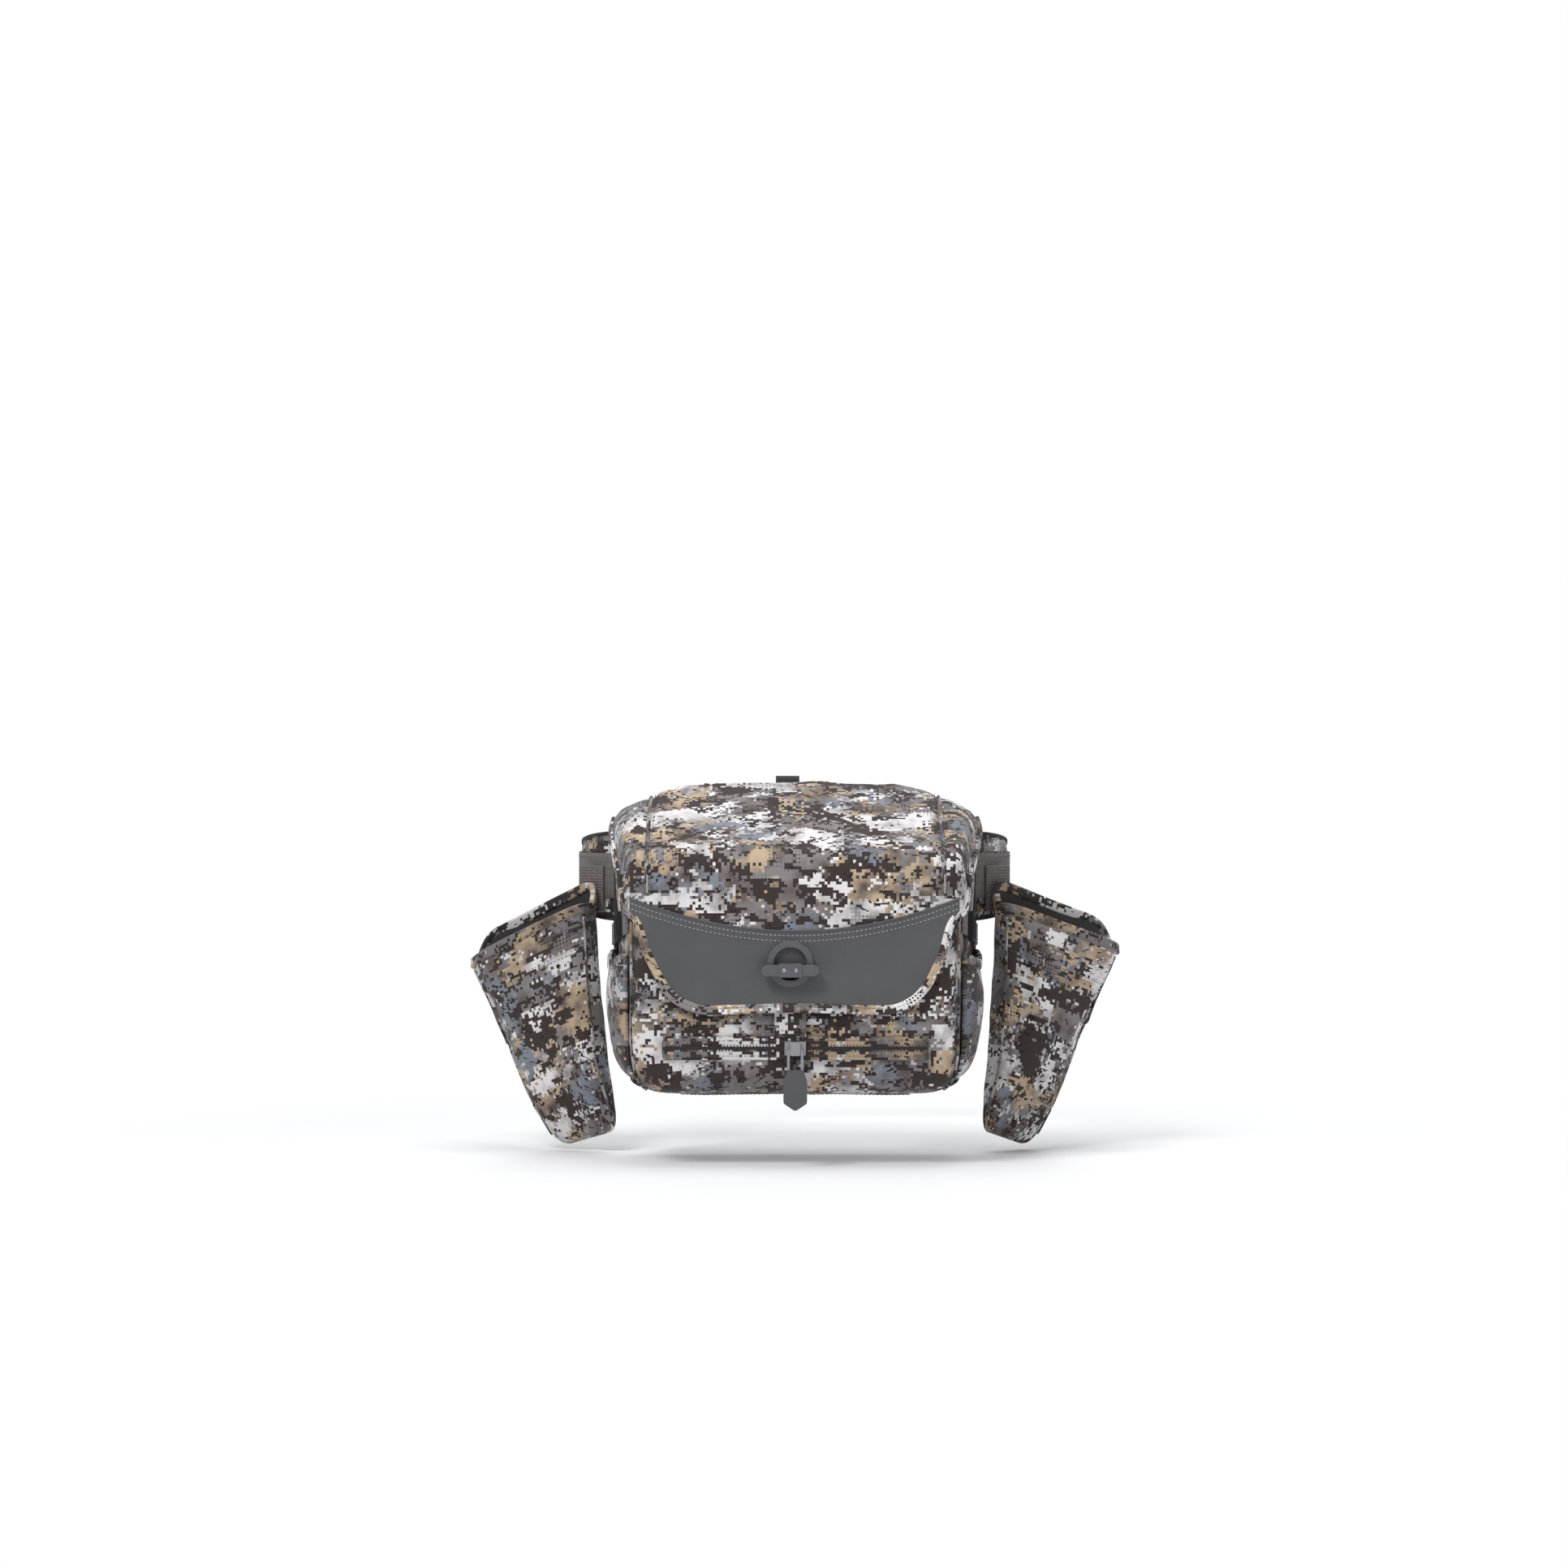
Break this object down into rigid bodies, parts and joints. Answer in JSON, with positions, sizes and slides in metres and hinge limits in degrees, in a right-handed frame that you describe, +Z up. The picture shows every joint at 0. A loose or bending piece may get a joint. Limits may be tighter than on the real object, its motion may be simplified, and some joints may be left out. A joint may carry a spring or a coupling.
{
  "type": "hunting waist pack",
  "caption": "Waist pack for hunting: padded bag with hooded lid and toggle closure, zipped front pocket, padded hip belt with buckle, and open pouches that hang from the belt.",
  "frame": {"origin": "centre of the waist opening at the belt's mid-height", "axes": "+X to the right seen from behind the wearer, +Y to the wearer's front, +Z up"},
  "size_m": [0.565, 0.4063, 0.3066],
  "materials": {
    "camo": "woven polyester printed with blocky camouflage",
    "camo_binding": "folded binding tape in the same print",
    "laminate": "smooth grey laminated fabric",
    "webbing": "woven warm grey webbing",
    "black_webbing": "woven black webbing",
    "mesh": "dark spacer mesh over foam",
    "lining": "dark woven lining",
    "sheet": "stiff polyethylene sheet",
    "hardware": "moulded grey acetal",
    "black_plastic": "moulded black plastic",
    "zip_coil": "woven zip tape with a moulded coil",
    "zip_metal": "grey coated cast zinc"
  },
  "bodies": {
    "pack": {"back_panel": "mesh", "frame_sheet": "sheet", "lumbar_pad_left": "mesh", "lumbar_pad_right": "mesh", "base_panel": "camo", "side_panel_left": "camo", "side_panel_right": "camo", "front_panel": "lining", "front_pocket": "camo", "pocket_zip": "zip_coil", "closure_strap": "camo", "side_pocket_left": "camo", "side_pocket_right": "camo", "side_strap_left": "webbing", "side_strap_right": "webbing", "side_lock_left": "hardware", "side_lock_right": "hardware", "hang_loop": "black_webbing", "hip_wing_left": "camo", "hip_wing_right": "camo", "belt_web_left": "webbing", "belt_web_right": "webbing", "web_glide_left": "hardware", "web_glide_right": "hardware", "buckle_socket": "hardware", "buckle_plug": "hardware"},
    "lid": {"lid_top": "camo", "lid_gusset_left": "camo", "lid_gusset_right": "camo", "lid_flap": "camo", "flap_panel": "laminate", "flap_binding": "camo_binding", "closure_ring": "hardware", "ring_plate": "black_plastic"},
    "toggle": {"toggle_stem": "hardware", "toggle_bar": "hardware"},
    "slider": {"zip_slider": "zip_metal"},
    "pull": {"pull_bail": "zip_metal", "pull_tab": "hardware"},
    "pouch_left": {"pouch_left_outer": "camo", "pouch_left_inner": "camo", "pouch_left_gusset": "camo", "pouch_left_rim": "camo_binding", "pouch_left_tab": "webbing"},
    "pouch_right": {"pouch_right_outer": "camo", "pouch_right_inner": "camo", "pouch_right_gusset": "camo", "pouch_right_rim": "camo_binding", "pouch_right_tab": "webbing"},
    "prong_a": {"prong_top": "hardware"},
    "prong_b": {"prong_bottom": "hardware"}
  },
  "joints": [
    {"name": "lid_hinge", "type": "hinge", "parent": "pack", "child": "lid", "pos_m": [0, -0.1293, 0.07669], "axis": [-1, 0, 0], "range_deg": [0, 110]},
    {"name": "toggle_turn", "type": "hinge", "parent": "lid", "child": "toggle", "pos_m": [-0.004, -0.2651, -0.072], "axis": [0, 1, 0], "range_deg": [-90, 90]},
    {"name": "zip_slide", "type": "slide", "parent": "pack", "child": "slider", "axis": [1, 0, 0], "range_m": [-0.096, 0.096]},
    {"name": "pull_swing", "type": "hinge", "parent": "slider", "child": "pull", "pos_m": [0, -0.2663, -0.136], "axis": [-1, 0, 0], "range_deg": [0, 150]},
    {"name": "pouch_left_swing", "type": "hinge", "parent": "pack", "child": "pouch_left", "pos_m": [-0.15958, -0.09788, 0.009], "axis": [-0.8192, 0.5736, 0], "range_deg": [0, 45]},
    {"name": "pouch_right_swing", "type": "hinge", "parent": "pack", "child": "pouch_right", "pos_m": [0.15958, -0.09788, 0.009], "axis": [-0.8192, -0.5736, 0], "range_deg": [0, 45]},
    {"name": "prong_top_squeeze", "type": "hinge", "parent": "pack", "child": "prong_a", "pos_m": [-0.0097, 0.1243, 0.013], "axis": [0, 1, 0], "range_deg": [0, 7], "stiffness_Nm_per_rad": 0.5},
    {"name": "prong_bottom_squeeze", "type": "hinge", "parent": "pack", "child": "prong_b", "pos_m": [-0.0097, 0.1243, -0.013], "axis": [0, 1, 0], "range_deg": [-7, 0], "stiffness_Nm_per_rad": 0.5}
  ],
  "couplings": [
    {"joint": "prong_bottom_squeeze", "follows": "prong_top_squeeze", "ratio": -1}
  ]
}
